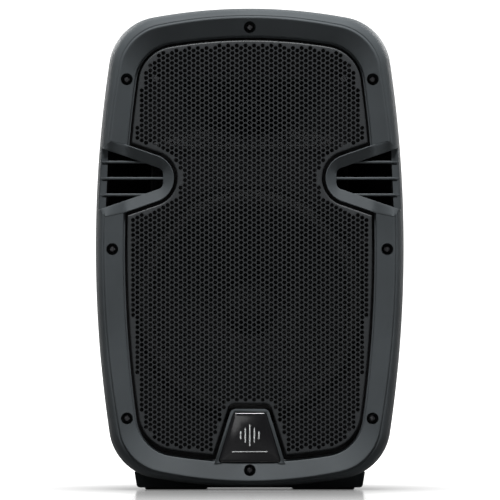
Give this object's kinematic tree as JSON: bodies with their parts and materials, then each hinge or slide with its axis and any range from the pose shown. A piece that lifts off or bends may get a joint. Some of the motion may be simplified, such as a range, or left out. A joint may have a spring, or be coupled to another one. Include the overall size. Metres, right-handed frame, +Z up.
{
  "type": "pa speaker",
  "caption": "Ten inch two-way powered PA speaker: moulded two-part cabinet, perforated steel grille, side reflex ports with louvres, rear amplifier panel, top handle and pole socket.",
  "frame": {"origin": "centre of the bounding box in X and Y, on the floor under the feet", "axes": "+Z up, front grille faces -Y, +X to the right as seen from the front"},
  "size_m": [0.3104, 0.245, 0.4853],
  "materials": {
    "shell_plastic": "fine spark-textured charcoal moulded plastic, low sheen",
    "grille_steel": "black powder-coated perforated steel, satin",
    "black_plastic": "black moulded plastic, fine texture",
    "gloss_black": "polished piano-black plastic with a bright bevel",
    "rubber": "matt black rubber",
    "screw_steel": "black-zinc plated steel",
    "black_steel": "black painted pressed steel",
    "zinc_steel": "zinc-plated turned steel",
    "ferrite": "ground dark ferrite",
    "cone_paper": "pressed paper pulp, matt black",
    "spider_cloth": "impregnated woven cloth, golden",
    "copper": "enamelled copper wire",
    "titanium": "thin pressed metal foil",
    "circuit_green": "solder-masked glass-fibre board",
    "part_plastic": "component sleeves and cases",
    "winding": "varnished copper winding",
    "heatsink_metal": "black anodised extrusion",
    "plated_metal": "nickel plated",
    "light_lens": "clear green lens",
    "key_grey": "satin grey moulded key",
    "wadding": "dark grey polyester fibre wadding",
    "wire_pvc": "pvc insulated lead"
  },
  "bodies": {
    "cabinet": {"front_shell": "shell_plastic", "rear_shell": "shell_plastic", "shell_gasket": "rubber", "case_screws": "screw_steel", "grille": "grille_steel", "port_duct_left": "shell_plastic", "port_duct_right": "shell_plastic", "badge_frame": "shell_plastic", "badge_plate": "gloss_black", "woofer_frame": "black_steel", "woofer_gasket": "rubber", "woofer_surround": "rubber", "woofer_spider": "spider_cloth", "woofer_top_plate": "zinc_steel", "woofer_magnet": "ferrite", "woofer_pole_piece": "zinc_steel", "woofer_terminals": "part_plastic", "horn_flare": "black_plastic", "speaker_screws": "screw_steel", "driver_pole_piece": "zinc_steel", "driver_phase_plug": "black_plastic", "driver_magnet": "ferrite", "driver_top_plate": "zinc_steel", "driver_rear_cover": "black_plastic", "amp_panel": "black_steel", "amp_heatsink": "heatsink_metal", "amp_board": "circuit_green", "amp_parts": "part_plastic", "power_transformer": "winding", "input_board": "circuit_green", "pot_bodies": "zinc_steel", "combo_jack_1": "black_plastic", "combo_jack_2": "black_plastic", "link_connector": "black_plastic", "phono_sockets": "plated_metal", "indicator_lights": "light_lens", "power_inlet": "black_plastic", "rocker_frame": "black_plastic", "panel_screws": "screw_steel", "pole_socket": "black_plastic", "rubber_feet": "rubber", "handle_frame": "black_plastic", "handle_cup": "black_plastic", "handle_grip": "black_plastic", "damping_wadding": "wadding", "wiring_loom": "wire_pvc"},
    "woofer_motion": {"woofer_cone": "cone_paper", "woofer_dust_cap": "cone_paper", "woofer_voice_coil": "copper"},
    "tweeter_motion": {"driver_diaphragm": "titanium"},
    "input_1_control": {"knob_input_1": "black_plastic"},
    "input_2_control": {"knob_input_2": "black_plastic"},
    "bass_control": {"knob_bass": "black_plastic"},
    "treble_control": {"knob_treble": "black_plastic"},
    "main_control": {"knob_main": "black_plastic"},
    "latch_1": {"jack_latch_1": "key_grey"},
    "latch_2": {"jack_latch_2": "key_grey"},
    "button": {"pairing_button": "key_grey"},
    "fuse_tray": {"fuse_drawer": "black_plastic"},
    "rocker": {"power_rocker": "gloss_black"}
  },
  "joints": [
    {"name": "cone_travel", "type": "slide", "parent": "cabinet", "child": "woofer_motion", "axis": [0, -1, 0], "range_m": [-0.004, 0.004], "stiffness_N_per_m": 3000, "deforming": ["woofer_surround", "woofer_spider"]},
    {"name": "diaphragm_travel", "type": "slide", "parent": "cabinet", "child": "tweeter_motion", "axis": [0, -1, 0], "range_m": [-0.0003, 0.0003], "stiffness_N_per_m": 1500},
    {"name": "input_1_turn", "type": "hinge", "parent": "cabinet", "child": "input_1_control", "pos_m": [-0.052, 0.11, 0.305], "axis": [0, 1, 0], "range_deg": [-150, 150]},
    {"name": "input_2_turn", "type": "hinge", "parent": "cabinet", "child": "input_2_control", "pos_m": [-0.026, 0.11, 0.305], "axis": [0, 1, 0], "range_deg": [-150, 150]},
    {"name": "bass_turn", "type": "hinge", "parent": "cabinet", "child": "bass_control", "pos_m": [0, 0.11, 0.305], "axis": [0, 1, 0], "range_deg": [-150, 150]},
    {"name": "treble_turn", "type": "hinge", "parent": "cabinet", "child": "treble_control", "pos_m": [0.026, 0.11, 0.305], "axis": [0, 1, 0], "range_deg": [-150, 150]},
    {"name": "main_turn", "type": "hinge", "parent": "cabinet", "child": "main_control", "pos_m": [0.052, 0.11, 0.305], "axis": [0, 1, 0], "range_deg": [-150, 150]},
    {"name": "latch_1_press", "type": "slide", "parent": "cabinet", "child": "latch_1", "axis": [0, 0, -1], "range_m": [0, 0.0015], "stiffness_N_per_m": 300},
    {"name": "latch_2_press", "type": "slide", "parent": "cabinet", "child": "latch_2", "axis": [0, 0, -1], "range_m": [0, 0.0015], "stiffness_N_per_m": 300},
    {"name": "button_press", "type": "slide", "parent": "cabinet", "child": "button", "axis": [0, -1, 0], "range_m": [0, 0.0008], "stiffness_N_per_m": 500},
    {"name": "fuse_tray_pull", "type": "slide", "parent": "cabinet", "child": "fuse_tray", "axis": [0, 1, 0], "range_m": [0, 0.012]},
    {"name": "rocker_throw", "type": "hinge", "parent": "cabinet", "child": "rocker", "pos_m": [0.034, 0.1106, 0.092], "axis": [1, 0, 0], "range_deg": [0, 22]}
  ]
}
